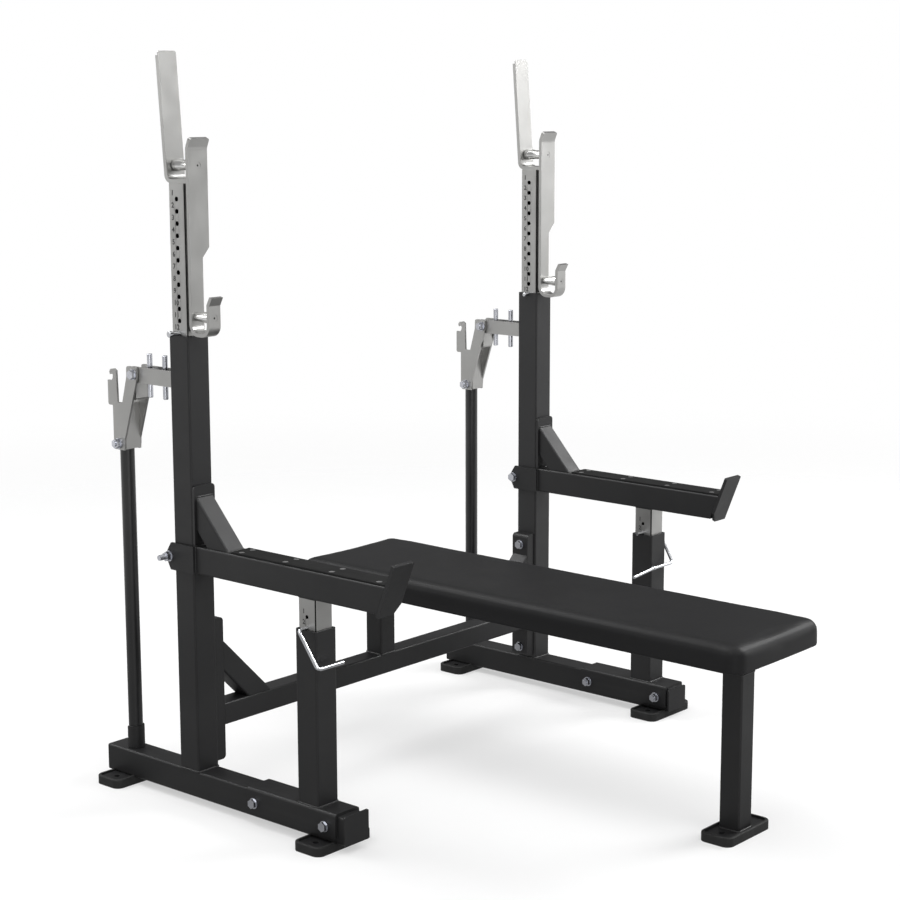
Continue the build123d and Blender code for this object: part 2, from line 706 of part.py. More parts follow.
save("frame_bolts", both([bracket_bolt(z) for z in BRACKET_BOLT_Z]
                         + [saddle_bolt(y) for y in SADDLE_BOLTS] + [pivot_bolt()]))
save("jack_arms", both([jack_arm()]))
save("jack_pegs", both([peg(y) for y in PEG_Y]))
save("lever_rests", both([lever_rest()]))
save("bench_rear_leg", middle(bench_leg(0, CROSS_Z + INNER)))
save("bench_front_leg", middle(bench_leg(FRONT_LEG_Y, BEAM_Z)))
save("bench_beam", middle(bench_beam()))
save("pad_bars", [middle(pad_bar(y)) for y in PAD_BARS])
save("pad_screws", [middle(pad_screw(x, y)) for y in PAD_BARS for x in (-PAD_SCREW_X, PAD_SCREW_X)])
save("bench_pad", middle(bench_pad()))

# mirrored side parts
for side, put in (("left", left), ("right", right)):
    save("upright_" + side, put(upright(side == "right")))
    save("front_post_" + side, put(front_post()))
    save("safety_yoke_" + side, put(safety_yoke()))
    save("safety_bolt_" + side, put(yoke_bolt()))
    save("safety_arm_" + side, put(safety_arm()))
    save("safety_end_plate_" + side, put(safety_end_plate()))
    save("safety_brace_" + side, put(safety_brace()))
    save("safety_liner_" + side, put(safety_liner()))
    save("liner_screws_" + side, [put(s) for s in liner_screws()])
    save("post_slider_" + side, put(post_slider()))
save("latch_pin_left", left(latch_pin()))
save("latch_pin_right", right(long_latch_pin()))

# the two racks are the same part, not mirrored; only their pins are
for side, spot in (("left", LEFT), ("right", RIGHT_RACK)):
    save("inner_upright_" + side, spot * inner_upright())
    save("rack_hook_" + side, spot * rack_hook())
    save("rack_finger_" + side, spot * rack_finger())
    save("hook_axles_" + side, [spot * a for a in hook_axles()])
    save("upper_roller_" + side, spot * upper_roller())
    save("lower_roller_" + side, spot * lower_roller())
save("height_pin_left", left(height_pin()))
save("height_pin_right", Pos(0, 0, -SEAT_RIGHT) * right(height_pin()))

# the two jack levers are the same part, not mirrored
for side, x in (("left", -HALF_SPAN), ("right", HALF_SPAN)):
    spot = Pos(x, RACK_Y, 0)
    save("lever_head_" + side, spot * lever_head())
    save("lever_bar_" + side, spot * lever_bar())
    save("lever_bolt_" + side, spot * lever_bolt())
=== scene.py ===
"""Competition bench press: materials, upholstery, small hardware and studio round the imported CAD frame."""
import json
import math

import bmesh
import bpy
import numpy as np
from mathutils import Matrix, Vector


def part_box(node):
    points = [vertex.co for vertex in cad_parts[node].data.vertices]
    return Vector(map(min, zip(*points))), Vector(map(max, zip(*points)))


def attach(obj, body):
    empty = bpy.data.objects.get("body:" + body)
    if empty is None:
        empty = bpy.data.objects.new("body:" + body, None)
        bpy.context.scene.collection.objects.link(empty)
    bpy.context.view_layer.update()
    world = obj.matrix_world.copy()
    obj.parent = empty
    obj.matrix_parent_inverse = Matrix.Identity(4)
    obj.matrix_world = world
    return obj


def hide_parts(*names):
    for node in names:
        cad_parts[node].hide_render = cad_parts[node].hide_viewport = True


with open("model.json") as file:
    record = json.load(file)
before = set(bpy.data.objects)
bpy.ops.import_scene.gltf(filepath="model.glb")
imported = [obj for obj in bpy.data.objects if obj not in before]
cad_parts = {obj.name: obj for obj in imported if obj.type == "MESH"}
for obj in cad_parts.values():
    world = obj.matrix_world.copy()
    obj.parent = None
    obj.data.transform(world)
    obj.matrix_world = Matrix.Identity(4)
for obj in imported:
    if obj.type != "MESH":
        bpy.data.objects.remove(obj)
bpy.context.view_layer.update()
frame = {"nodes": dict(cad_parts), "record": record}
NODES = frame["nodes"]
SIDES = ("left", "right")
MM = 0.001

# Sizes shared by the pieces added here
BEAD = 2.3 * MM            # radius of a weld bead
FINE_BEAD = 0.8 * BEAD     # radius of the smaller beads
RIPPLE = 0.12              # depth of a bead's ripples as a share of its radius
TUBE_CORNER = 4.5 * MM     # outer corner radius of the square tube
PROUD = 0.1 * MM           # gap between a print, strip or cover and what it lies on

# Holes of the inner uprights and of the safety sliders
TOP_HEIGHT_HOLE = {"left": 1323.15 * MM, "right": 1314.65 * MM}
HEIGHT_HOLES = 12
HEIGHT_PITCH = 25.65 * MM
TOP_SAFETY_HOLE = 484.0 * MM
SAFETY_HOLES = 2
SAFETY_PITCH = 22.5 * MM

# The pad's cover before and after the fill
COVER_SIDE = 3.0 * MM      # how far it starts outside the CAD pad, all round
COVER_TOP = 1.0 * MM       # how far it starts above the CAD pad
COVER_BASE = 1.0 * MM      # how far its underside lies above the CAD pad's
COVER_CORNER = 31 * MM     # corner radius in plan
COVER_EDGE = 23 * MM       # radius of the top edge
COVER_CELL = 4.5 * MM      # size of its quads
BOARD_HEIGHT = 3.0 * MM    # below this the cover is fixed to the board
FILL_STEPS = 20            # frames of the cloth simulation
SMOOTHING = 25             # rounds of averaging of the swell
SWELL_CAP = 3.0 * MM       # largest swell
WAVE = 0.1 * MM            # height of the slow waves in the top
CROWN_LIMIT = 5.0 * MM     # the top stays under this above the CAD pad


# ------------------------------------------------------------------ materials
def link(tree, source, target):
    tree.links.new(source, target)


def noise(tree, coords, scale, detail=2.0, stretch=None):
    """Noise texture over object coordinates; returns its value socket."""
    source = coords
    if stretch:
        mapping = tree.nodes.new("ShaderNodeMapping")
        mapping.inputs["Scale"].default_value = stretch
        link(tree, coords, mapping.inputs["Vector"])
        source = mapping.outputs["Vector"]
    node = tree.nodes.new("ShaderNodeTexNoise")
    node.inputs["Scale"].default_value = scale
    node.inputs["Detail"].default_value = detail
    link(tree, source, node.inputs["Vector"])
    return node.outputs["Fac"]


def spread(tree, value, low, high):
    """Maps a noise value to a range."""
    node = tree.nodes.new("ShaderNodeMapRange")
    node.inputs["From Min"].default_value = 0.3
    node.inputs["From Max"].default_value = 0.7
    node.inputs["To Min"].default_value = low
    node.inputs["To Max"].default_value = high
    link(tree, value, node.inputs["Value"])
    return node.outputs["Result"]


def tint(tree, value, dark, light):
    """A colour between two, by a value from 0 to 1."""
    node = tree.nodes.new("ShaderNodeMix")
    node.data_type = "RGBA"
    node.inputs["A"].default_value = (*dark, 1)
    node.inputs["B"].default_value = (*light, 1)
    link(tree, value, node.inputs["Factor"])
    return node.outputs["Result"]


def bump(tree, height, strength, distance, below=None):
    """A normal from a height, on top of the normal below."""
    node = tree.nodes.new("ShaderNodeBump")
    node.inputs["Strength"].default_value = strength
    node.inputs["Distance"].default_value = distance
    link(tree, height, node.inputs["Height"])
    if below is not None:
        link(tree, below, node.inputs["Normal"])
    return node.outputs["Normal"]


def painted_edge_highlight(tree, colour, amount, bare):
    """Painted highlight: the colour, lightened along sharp edges towards a brighter colour (bare), where
    rounded edges catch the light.
    """
    edge = tree.nodes.new("ShaderNodeNewGeometry").outputs["Pointiness"]
    highlight_mask = tree.nodes.new("ShaderNodeMapRange")
    highlight_mask.inputs["From Min"].default_value = 0.52
    highlight_mask.inputs["From Max"].default_value = 0.60
    highlight_mask.inputs["To Max"].default_value = amount
    link(tree, edge, highlight_mask.inputs["Value"])
    mix = tree.nodes.new("ShaderNodeMix")
    mix.data_type = "RGBA"
    mix.inputs["B"].default_value = (*bare, 1)
    link(tree, highlight_mask.outputs["Result"], mix.inputs["Factor"])
    link(tree, colour, mix.inputs["A"])
    return mix.outputs["Result"]


def material(name, dark, light, rough, metallic=0.0, grain=None, grain_bump=(0.2, 0.0001),
             patches=9.0, stretch=None, cells=None, coat=0.0, specular=0.5, edge_light=None):
    """Procedural surface: drifting colour and roughness, with a fine grain or cells in the normal.

    edge_light is (amount, lighter colour) for a painted highlight along sharp edges, and cells is (scale,
    strength, distance).
    """
    made = bpy.data.materials.new(name)
    made.use_nodes = True
    tree = made.node_tree
    shader = tree.nodes["Principled BSDF"]
    coords = tree.nodes.new("ShaderNodeTexCoord").outputs["Object"]
    drift = spread(tree, noise(tree, coords, patches, 4.0), 0.0, 1.0)
    colour = tint(tree, drift, dark, light)
    # painted highlight: sharp edges lightened towards a brighter colour
    if edge_light:
        colour = painted_edge_highlight(tree, colour, *edge_light)
    link(tree, colour, shader.inputs["Base Color"])
    smear = noise(tree, coords, patches * 2.6, 5.0, stretch)
    link(tree, spread(tree, smear, *rough), shader.inputs["Roughness"])
    normal = None
    if grain:
        normal = bump(tree, noise(tree, coords, grain, 2.0, stretch), *grain_bump)
    if cells:
        voronoi = tree.nodes.new("ShaderNodeTexVoronoi")
        voronoi.feature = "SMOOTH_F1"
        voronoi.inputs["Scale"].default_value = cells[0]
        voronoi.inputs["Smoothness"].default_value = 0.4
        link(tree, coords, voronoi.inputs["Vector"])
        normal = bump(tree, voronoi.outputs["Distance"], cells[1], cells[2], normal)
    if normal is not None:
        link(tree, normal, shader.inputs["Normal"])
    shader.inputs["Metallic"].default_value = metallic
    shader.inputs["Coat Weight"].default_value = coat
    shader.inputs["Specular IOR Level"].default_value = specular
    return made


MATERIALS = {
    # its sharp edges carry a painted highlight
    "black_powder_coat": material("powder_coat", (0.0085, 0.0085, 0.009), (0.0115, 0.0115, 0.012),
                                  (0.40, 0.50), grain=1500.0, grain_bump=(0.22, 0.00012),
                                  specular=0.38, edge_light=(0.35, (0.03, 0.03, 0.031))),
    "satin_nickel": material("nickel", (0.385, 0.383, 0.374), (0.440, 0.438, 0.428), (0.34, 0.44),
                             metallic=1.0, grain=2200.0, grain_bump=(0.10, 0.00006)),
    "zinc_bolts": material("zinc", (0.48, 0.49, 0.53), (0.60, 0.61, 0.65), (0.16, 0.26),
                           metallic=1.0, grain=1800.0, grain_bump=(0.10, 0.00006), patches=40.0),
    "pad_vinyl": material("vinyl", (0.0105, 0.0105, 0.0110), (0.0122, 0.0122, 0.0127), (0.44, 0.47),
                          patches=5.0, grain=420.0, grain_bump=(0.10, 0.0003),
                          cells=(620.0, 0.18, 0.00025), specular=0.14),
    "liner_plastic": material("liner", (0.008, 0.008, 0.008), (0.012, 0.012, 0.012), (0.60, 0.72),
                              grain=900.0, grain_bump=(0.25, 0.00015), patches=20.0,
                              stretch=(1.0, 0.15, 1.0), specular=0.13),
    "black_rubber": material("rubber", (0.009, 0.009, 0.009), (0.015, 0.015, 0.015), (0.6, 0.78),
                             grain=700.0, grain_bump=(0.35, 0.0002), patches=25.0, specular=0.4),
}
GLOSS_BLACK = material("lever_paint", (0.008, 0.008, 0.0085), (0.011, 0.011, 0.0115), (0.30, 0.38),
                       grain=1200.0, grain_bump=(0.12, 0.0001), coat=0.15)
PRINT = material("printed_number", (0.008, 0.008, 0.008), (0.014, 0.014, 0.014), (0.5, 0.6), patches=200.0)
BRIGHT_ROD = material("bright_rod", (0.60, 0.61, 0.64), (0.70, 0.71, 0.73), (0.14, 0.22), metallic=1.0,
                      grain=1600.0, grain_bump=(0.08, 0.00005), patches=30.0)
SCREW = material("liner_screw", (0.30, 0.30, 0.30), (0.40, 0.40, 0.40), (0.42, 0.52), metallic=1.0,
                 grain=1500.0, patches=60.0)
TURNED = material("turned_steel", (0.62, 0.62, 0.61), (0.70, 0.70, 0.69), (0.16, 0.24), metallic=1.0,
                  grain=2400.0, grain_bump=(0.08, 0.00005), stretch=(0.1, 1.0, 1.0))
# dark and dull: painted shade inside tubes and holes
HOLE_SHADE = material("tube_inside_painted_shade", (0.010, 0.010, 0.010), (0.016, 0.016, 0.016), (0.8, 0.9), specular=0.1)
# flat black used as painted shade in the hook gap and at the axle centres
PAINTED_SHADE = material("hook_painted_shade", (0.008, 0.008, 0.008), (0.012, 0.012, 0.012), (0.7, 0.8),
                  grain=900.0, specular=0.2)
WELD = material("painted_weld", (0.009, 0.009, 0.0095), (0.013, 0.013, 0.0135), (0.34, 0.46),
                grain=800.0, grain_bump=(0.3, 0.0002), patches=60.0)
DUST_COVER = material("dust_cover", (0.010, 0.010, 0.010), (0.018, 0.018, 0.018), (0.85, 0.95),
                      grain=1300.0, grain_bump=(0.6, 0.0004), patches=120.0, specular=0.25)


def paint(obj, made):
    obj.data.materials.clear()
    obj.data.materials.append(made)


# ---------------------------------------------------- CAD nodes and their edges
SLOT = {s["node"]: s["material_slot"] for s in frame["record"]["subparts"]}
# Finish of the pieces whose slot alone doesn't say it
OWN = {"lever_bar": GLOSS_BLACK, "height_pin": BRIGHT_ROD, "latch_pin": BRIGHT_ROD,
       "liner_screws": SCREW, "upper_roller": TURNED, "lower_roller": TURNED}
# Width of the bevel on a piece's edges, in mm
EDGE = {"black_powder_coat": 0.9, "satin_nickel": 0.7, "zinc_bolts": 0.45, "black_rubber": 0.8,
        "liner_plastic": 0.4}


def darken_inside(node, obj):
    """Painted shade: an unlit look for the inside of a perforated square tube and the walls of its holes."""
    low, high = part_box(node)
    mid = (low + high) / 2
    half = (high.x - low.x) / 2 - 0.4 * MM
    obj.data.materials.append(HOLE_SHADE)
    for face in obj.data.polygons:
        at = obj.matrix_world @ face.center - mid
        if abs(at.x) < half and abs(at.y) < half and abs(face.normal.z) < 0.9:
            face.material_index = 1


for node, obj in NODES.items():
    if node == "bench_pad":
        continue
    slot = SLOT[node]
    paint(obj, OWN.get(node.rsplit("_", 1)[0], OWN.get(node, MATERIALS[slot])))
    if node.startswith(("inner_upright", "post_slider")):
        darken_inside(node, obj)
    if node == "upright_right":  # bevelled edges would leave a dark line below the notch in its rim
        continue
    weld = obj.modifiers.new("join", "WELD")
    weld.merge_threshold = 2e-5
    bevel = obj.modifiers.new("edge", "BEVEL")
    bevel.width = EDGE[slot] * MM
    bevel.segments = 2
    bevel.limit_method = "ANGLE"
    bevel.angle_limit = math.radians(40)
    bevel.use_clamp_overlap = True
    flat = obj.modifiers.new("flat", "WEIGHTED_NORMAL")
    flat.weight = 80
    flat.keep_sharp = True


# ------------------------------------------------------------- mesh helpers
def piece(name, verts, faces, made, body, slot, smooth=True):
    """A new mesh object in the row frame, riding on a body."""
    mesh = bpy.data.meshes.new(name)
    mesh.from_pydata([tuple(v) for v in verts], [], faces)
    mesh.validate()
    mesh.update()
    if smooth:
        mesh.shade_smooth()
    obj = bpy.data.objects.new(name, mesh)
    bpy.context.scene.collection.objects.link(obj)
    paint(obj, made)
    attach(obj, body)
    return obj


def rounded_loop(a, b, radius, steps=4):
    """Closed path round a rectangle of half sizes a, b, as 2-D points."""
    points = []
    for cx, cy, start in ((a, b, 0), (-a, b, 90), (-a, -b, 180), (a, -b, 270)):
        for i in range(steps + 1):
            t = math.radians(start + 90 * i / steps)
            points.append((cx - math.copysign(radius, cx) + radius * math.cos(t),
                           cy - math.copysign(radius, cy) + radius * math.sin(t)))
    return points


def resample(points, step, closed):
    """Points every step along a polyline."""
    points = [Vector(p) for p in points]
    if closed:
        points.append(points[0])
    out = []
    for p, q in zip(points, points[1:]):
        n = max(1, round((q - p).length / step))
        out += [p.lerp(q, i / n) for i in range(n)]
    if not closed:
        out.append(points[-1])
    return out


def bead_mesh(points, radius, closed, ripple, sides=7):
    """Rippled tube along a path, like a weld bead."""
    path = resample(points, 1.6 * MM, closed)
    n = len(path)
    verts, faces = [], []
    for i, p in enumerate(path):
        before = path[i - 1] if closed or i else path[0]
        after = path[(i + 1) % n] if closed or i < n - 1 else path[-1]
        along = (after - before).normalized()
        side = along.orthogonal() if abs(along.z) > 0.9 else along.cross(Vector((0, 0, 1)))
        side.normalize()
        up = side.cross(along).normalized()
        end = 1.0 if closed else min(1.0, 0.35 + 0.25 * min(i, n - 1 - i))  # narrower near an end
        r = radius * end * (1 + ripple * math.sin(i * 2.1))
        for k in range(sides):
            t = 2 * math.pi * k / sides
            verts.append(p + side * (r * math.cos(t)) + up * (r * math.sin(t)))
    for i in range(n if closed else n - 1):
        j = (i + 1) % n
        for k in range(sides):
            m = (k + 1) % sides
            faces.append((i * sides + k, i * sides + m, j * sides + m, j * sides + k))
    if not closed:
        faces.append(tuple(reversed(range(sides))))
        faces.append(tuple(range((n - 1) * sides, n * sides)))
    return verts, faces


def merged(parts):
    """Several (verts, faces) lists as one."""
    verts, faces = [], []
    for v, f in parts:
        base = len(verts)
        verts += v
        faces += [tuple(base + i for i in face) for face in f]
    return verts, faces


def centre_x(side):
    """Middle plane of one rack."""
    low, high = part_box("upright_" + side)
    return (low.x + high.x) / 2


# ------------------------------------------------------------------- weld beads
def ring_z(cx, cy, z, half):
    """Path round a square tube where it stands on a level surface."""
    return [(cx + x, cy + y, z) for x, y in rounded_loop(half, half, TUBE_CORNER)]


def weld_base(side):
    """Beads where the upright and the front post stand on the base beam."""
    x = centre_x(side)
    low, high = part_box("upright_" + side)
    post_low, post_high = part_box("front_post_" + side)
    half = (high.x - low.x) / 2
    parts = [bead_mesh(ring_z(x, (low.y + high.y) / 2, low.z, half), BEAD, True, RIPPLE),
             bead_mesh(ring_z(x, (post_low.y + post_high.y) / 2, post_low.z, half), BEAD, True, RIPPLE)]
    piece("weld_base_" + side, *merged(parts), WELD, "frame", "black_powder_coat")


def weld_safety(side):
    """Beads at the arm's collar, above its slider and at both ends of its brace."""
    x = centre_x(side)
    low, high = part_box("upright_" + side)
    half = (high.x - low.x) / 2
    arm_low, arm_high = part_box("safety_arm_" + side)
    z = (arm_low.z + arm_high.z) / 2
    loop = [(x + a, arm_high.y, z + b) for a, b in rounded_loop(half, half, TUBE_CORNER)]
    brace_low, brace_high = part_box("safety_brace_" + side)
    wide = (brace_high.x - brace_low.x) / 2
    top = [(x + way * wide, brace_high.y, brace_high.z) for way in (-1, 1)]
    toe = [(x + way * wide, brace_low.y, brace_low.z) for way in (-1, 1)]
    slider_low, slider_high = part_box("post_slider_" + side)
    under = ring_z(x, (slider_low.y + slider_high.y) / 2, slider_high.z,
                   (slider_high.x - slider_low.x) / 2)
    parts = [bead_mesh(loop, FINE_BEAD, True, RIPPLE), bead_mesh(under, FINE_BEAD, True, RIPPLE),
             bead_mesh(top, BEAD, False, RIPPLE), bead_mesh(toe, BEAD, False, RIPPLE)]
    piece("weld_safety_" + side, *merged(parts), WELD, "safety_" + side, "black_powder_coat")


def weld_bench():
    """Beads at the foot and the head of both bench legs."""
    parts = []
    for node in ("bench_front_leg", "bench_rear_leg"):
        low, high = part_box(node)
        mid = (low + high) / 2
        half = (high.x - low.x) / 2
        parts.append(bead_mesh(ring_z(mid.x, mid.y, low.z, half), BEAD, True, RIPPLE))
        parts.append(bead_mesh(ring_z(mid.x, mid.y, high.z, half), FINE_BEAD, True, RIPPLE))
    piece("weld_bench", *merged(parts), WELD, "frame", "black_powder_coat")


def welds():
    for side in SIDES:
        weld_base(side)
        weld_safety(side)
    weld_bench()


# ---------------------------------------------------------------------- threads
def thread_mesh(x0, x1, y, z, radius, pitch=1.75 * MM, depth=0.45 * MM, around=28):
    """Threaded length of a bolt along X."""
    rows = max(4, int(abs(x1 - x0) / pitch * 5))
    verts, faces = [], []
    for i in range(rows + 1):
        x = x0 + (x1 - x0) * i / rows
        for k in range(around):
            turn = k / around
            phase = (abs(x - x0) / pitch - turn) % 1.0
            r = radius + depth * (1 - abs(2 * phase - 1)) * min(1, (rows - i) / 3)
            t = 2 * math.pi * turn
            verts.append((x, y + r * math.cos(t), z + r * math.sin(t)))
    for i in range(rows):
        for k in range(around):
            m = (k + 1) % around
            faces.append((i * around + k, i * around + m, (i + 1) * around + m, (i + 1) * around + k))
    return verts, faces


def threads():
    """The bare end of the bolt through each safety collar."""
    bare, chamfer, radius = 17.5 * MM, 0.6 * MM, 5.85 * MM
    for side, out in zip(SIDES, (-1, 1)):
        low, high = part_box("safety_bolt_" + side)
        tip = low.x if out < 0 else high.x
        y = (low.y + high.y) / 2
        z = (low.z + high.z) / 2
        mesh = thread_mesh(tip - out * bare, tip - out * chamfer, y, z, radius)
        piece("safety_stud_thread_" + side, *mesh, MATERIALS["zinc_bolts"], "safety_" + side, "zinc_bolts")


# ---------------------------------------------------------------------- numbers
def number_mesh(text, size):
    """Flat outline of a number, standing in the XZ plane with its left end at the origin."""
    curve = bpy.data.curves.new("digits", "FONT")
    curve.body = text
    curve.size = size
    curve.extrude = 0.12 * MM
    curve.offset = 0.3 * MM
    curve.resolution_u = 3
    holder = bpy.data.objects.new("digits", curve)
    bpy.context.scene.collection.objects.link(holder)
    mesh = bpy.data.meshes.new_from_object(holder.evaluated_get(bpy.context.evaluated_depsgraph_get()))
    verts = [v.co.copy() for v in mesh.vertices]
    faces = [tuple(p.vertices) for p in mesh.polygons]
    bpy.data.objects.remove(holder)
    bpy.data.meshes.remove(mesh)
    return verts, faces


def numbers(name, body, node, first_z, pitch, count, rear, lift, size):
    """Numbers beside the holes, on both side faces of a square tube.

    A number starts rear of the middle of the face and stands lift above the middle of its hole.
    """
    low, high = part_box(node)
    y = (low.y + high.y) / 2
    parts = []
    for i in range(count):
        verts, faces = number_mesh(str(i + 1), size)
        z = first_z - i * pitch + lift
        for x, way in ((low.x, -1), (high.x, 1)):
            start = y + rear if way < 0 else y - rear
            placed = [Vector((x + way * PROUD + way * v.z, start + way * v.x, z + v.y)) for v in verts]
            parts.append((placed, faces))
    piece(name, *merged(parts), PRINT, body, "liner_plastic", smooth=False)


# ----------------------------------------------------------------- upholstery
def pad_block():
    """Rounded block about the size of the pad, ready to be filled."""
    low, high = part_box("bench_pad")
    size = Vector((high.x - low.x + 2 * COVER_SIDE, high.y - low.y + 2 * COVER_SIDE,
                   high.z - low.z + COVER_TOP - COVER_BASE))
    mid = Vector(((low.x + high.x) / 2, (low.y + high.y) / 2, low.z + COVER_BASE + size.z / 2))
    bm = bmesh.new()
    bmesh.ops.create_cube(bm, size=1.0, matrix=Matrix.Translation(mid) @ Matrix.Diagonal((*size, 1)))
    upright = [e for e in bm.edges if abs(e.verts[0].co.z - e.verts[1].co.z) > size.z / 2]
    bmesh.ops.bevel(bm, geom=upright, offset=COVER_CORNER, segments=10, profile=0.5, affect="EDGES")
    top = [e for e in bm.edges if min(v.co.z for v in e.verts) > mid.z
           and any(abs(f.normal.z) < 0.5 for f in e.link_faces)
           and any(f.normal.z > 0.5 for f in e.link_faces)]
    bmesh.ops.bevel(bm, geom=top, offset=COVER_EDGE, segments=8, profile=0.5, affect="EDGES")
    mesh = bpy.data.meshes.new("pad_start")
    bm.to_mesh(mesh)
    bm.free()
    return mesh


def grid_mesh(mesh, voxel):
    """Even quads over the same shape."""
    holder = bpy.data.objects.new("holder", mesh)
    bpy.context.scene.collection.objects.link(holder)
    remesh = holder.modifiers.new("even", "REMESH")
    remesh.mode = "VOXEL"
    remesh.voxel_size = voxel
    out = bpy.data.meshes.new_from_object(holder.evaluated_get(bpy.context.evaluated_depsgraph_get()))
    bpy.data.objects.remove(holder)
    return out


def positions(mesh):
    """Vertex positions as rows of an array."""
    co = np.zeros(len(mesh.vertices) * 3)
    mesh.vertices.foreach_get("co", co)
    return co.reshape(-1, 3)


def smoothed(mesh, move):
    """Displacements averaged over neighbouring vertices, so that the cover has no folds."""
    ends = np.zeros(len(mesh.edges) * 2, dtype=np.int64)
    mesh.edges.foreach_get("vertices", ends)
    a, b = ends.reshape(-1, 2).T
    count = len(move)
    near = np.maximum(np.bincount(a, minlength=count) + np.bincount(b, minlength=count), 1)
    for _ in range(SMOOTHING):
        pull = np.stack([np.bincount(a, move[b, k], count) + np.bincount(b, move[a, k], count)
                         for k in range(3)], axis=1)
        move = 0.5 * move + 0.5 * pull / near[:, None]
    return move


def filled(obj, start, board_top):
    """Vertex positions once pressure has pushed the cover out from the board it is fixed to."""
    board = obj.vertex_groups.new(name="board")
    board.add([int(i) for i in np.nonzero(start[:, 2] < board_top)[0]], 1.0, "REPLACE")
    cloth = obj.modifiers.new("fill", "CLOTH")
    cloth.settings.quality = 6
    cloth.settings.mass = 0.4
    cloth.settings.tension_stiffness = 25
    cloth.settings.compression_stiffness = 25
    cloth.settings.bending_stiffness = 20
    cloth.settings.use_pressure = True
    cloth.settings.uniform_pressure_force = 4.0
    cloth.settings.effector_weights.gravity = 0.0
    cloth.settings.vertex_group_mass = "board"
    scene = bpy.context.scene
    for step in range(1, FILL_STEPS + 1):
        scene.frame_set(step)
    swollen = obj.evaluated_get(bpy.context.evaluated_depsgraph_get())
    move = smoothed(obj.data, positions(swollen.data) - start)
    length = np.linalg.norm(move, axis=1)
    move *= (SWELL_CAP * np.tanh(length / SWELL_CAP) / np.maximum(length, 1e-9))[:, None]
    print("pad swell mm: mean %.2f max %.2f" % (length.mean() / MM, length.max() / MM))
    obj.modifiers.clear()
    obj.vertex_groups.clear()
    scene.frame_set(1)
    return start + move


def bench_cushion():
    """The padded top: foam under a vinyl cover, in place of the plain CAD pad."""
    low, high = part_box("bench_pad")
    mesh = grid_mesh(pad_block(), COVER_CELL)
    obj = bpy.data.objects.new("bench_cushion", mesh)
    bpy.context.scene.collection.objects.link(obj)
    at = positions(mesh)
    at = filled(obj, at, low.z + BOARD_HEIGHT)
    rise = np.clip((at[:, 2] - low.z) / (high.z - low.z), 0, 1) ** 2
    waves = np.sin(at[:, 1] * 31 + 0.6) + np.sin(at[:, 0] * 47 + at[:, 1] * 13)
    at[:, 2] = np.minimum(at[:, 2] + rise * WAVE * waves, high.z + CROWN_LIMIT)
    mesh.vertices.foreach_set("co", at.ravel())
    mesh.update()
    sub = obj.modifiers.new("smooth", "SUBSURF")
    sub.levels = sub.render_levels = 1
    final = bpy.data.meshes.new_from_object(obj.evaluated_get(bpy.context.evaluated_depsgraph_get()))
    obj.modifiers.clear()
    obj.data = final
    final.shade_smooth()
    paint(obj, MATERIALS["pad_vinyl"])
    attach(obj, "frame")
    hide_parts("bench_pad")


def dust_cover():
    """Woven cover under the pad, tucked inside its edge and stapled down."""
    low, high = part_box("bench_pad")
    mid = (low + high) / 2
    margin, corner, thick = 16 * MM, 22 * MM, 1.5 * MM
    loop = rounded_loop((high.x - low.x) / 2 - margin, (high.y - low.y) / 2 - margin, corner)
    under = low.z + PROUD
    verts = [(mid.x + x, mid.y + y, z) for z in (under, under + thick) for x, y in loop]
    n = len(loop)
    faces = [tuple(reversed(range(n))), tuple(range(n, 2 * n))]
    faces += [(i, (i + 1) % n, n + (i + 1) % n, n + i) for i in range(n)]
    piece("pad_dust_cover", verts, faces, DUST_COVER, "frame", "pad_vinyl", smooth=False)
    spacing, half_staple, wire = 38 * MM, 5 * MM, 0.5 * MM
    path = resample([(mid.x + x * 0.985, mid.y + y * 0.996, under) for x, y in loop], spacing, True)
    parts = []
    for p, q in zip(path, path[1:] + path[:1]):
        along = (q - p).normalized()
        ends = [p - along * half_staple, p + along * half_staple]
        parts.append(bead_mesh(ends, wire, False, 0.0, 5))
    piece("pad_staples", *merged(parts), MATERIALS["zinc_bolts"], "frame", "zinc_bolts")


def gap_shades():
    """Painted shade: a black strip filling the narrow gap between the hook plate and the inner upright,
    where shade falls.
    """
    for side in SIDES:
        low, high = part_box("inner_upright_" + side)
        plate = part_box("rack_hook_" + side)[0]
        x = (low.x + high.x) / 2
        y0 = low.y - 7.9 * MM
        y1 = low.y - PROUD
        step = high.z - 130 * MM    # the strip is wider above this, like the plate
        parts = []
        for x0, x1, z0, z1 in ((-21, 1, plate.z + 10 * MM, step),
                               (-21, 19, step + PROUD, high.z - 4 * MM)):
            a, b = x + x0 * MM, x + x1 * MM
            verts = [(i, j, k) for k in (z0, z1) for i, j in ((a, y0), (b, y0), (b, y1), (a, y1))]
            parts.append((verts, [(3, 2, 1, 0), (4, 5, 6, 7), (0, 1, 5, 4), (1, 2, 6, 5),
                                  (2, 3, 7, 6), (3, 0, 4, 7)]))
        piece("hook_painted_shade_" + side, *merged(parts), PAINTED_SHADE, "inner_" + side, "liner_plastic",
              smooth=False)


def axle_hole_shades():
    """Painted shade: a small dark disc at the centre of each roller axle's head, standing in for the shade
    in a small centre hole.
    """
    radius, around = 2.2 * MM, 16
    circle = [2 * math.pi * i / around for i in range(around)]
    for side in SIDES:
        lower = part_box("hook_axles_" + side)[0].y
        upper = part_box("inner_upright_" + side)[0].y - 15.5 * MM
        parts = []
        for roller, y in (("upper_roller_", upper), ("lower_roller_", lower)):
            low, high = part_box(roller + side)
            x = (low.x + high.x) / 2
            z = (low.z + high.z) / 2
            verts = [(x + radius * math.cos(t), y - 0.05 * MM, z + radius * math.sin(t)) for t in circle]
            parts.append((verts, [tuple(range(around))]))
        piece("axle_hole_shades_" + side, *merged(parts), PAINTED_SHADE, "inner_" + side, "liner_plastic", smooth=False)


